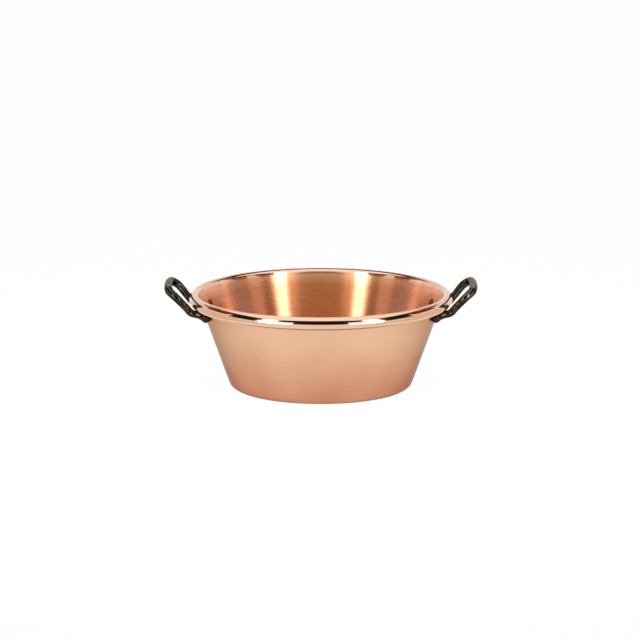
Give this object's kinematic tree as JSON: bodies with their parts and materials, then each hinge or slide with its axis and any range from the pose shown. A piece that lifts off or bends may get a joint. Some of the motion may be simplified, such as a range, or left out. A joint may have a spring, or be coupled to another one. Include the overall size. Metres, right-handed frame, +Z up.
{
  "type": "preserving pan",
  "caption": "Wide flared copper pan with a flat base, a hollow curled rim and fixed cast-iron loop handles riveted on opposite sides, for boiling jam and sugar.",
  "frame": {"origin": "middle of the underside of the flat base", "axes": "+X from the left handle to the right handle, -Y towards the front, +Z up out of the pan's mouth"},
  "size_m": [0.4514, 0.38, 0.1548],
  "materials": {
    "copper_sheet": "polished rim, satin outside, brushed inside",
    "copper_rivet": "satin",
    "black_iron": "smooth semi-gloss black"
  },
  "bodies": {
    "root": {"pan_body": "copper_sheet", "right_handle": "black_iron", "right_front_rivet": "copper_rivet", "right_rear_rivet": "copper_rivet", "left_handle": "black_iron", "left_front_rivet": "copper_rivet", "left_rear_rivet": "copper_rivet"}
  },
  "joints": []
}
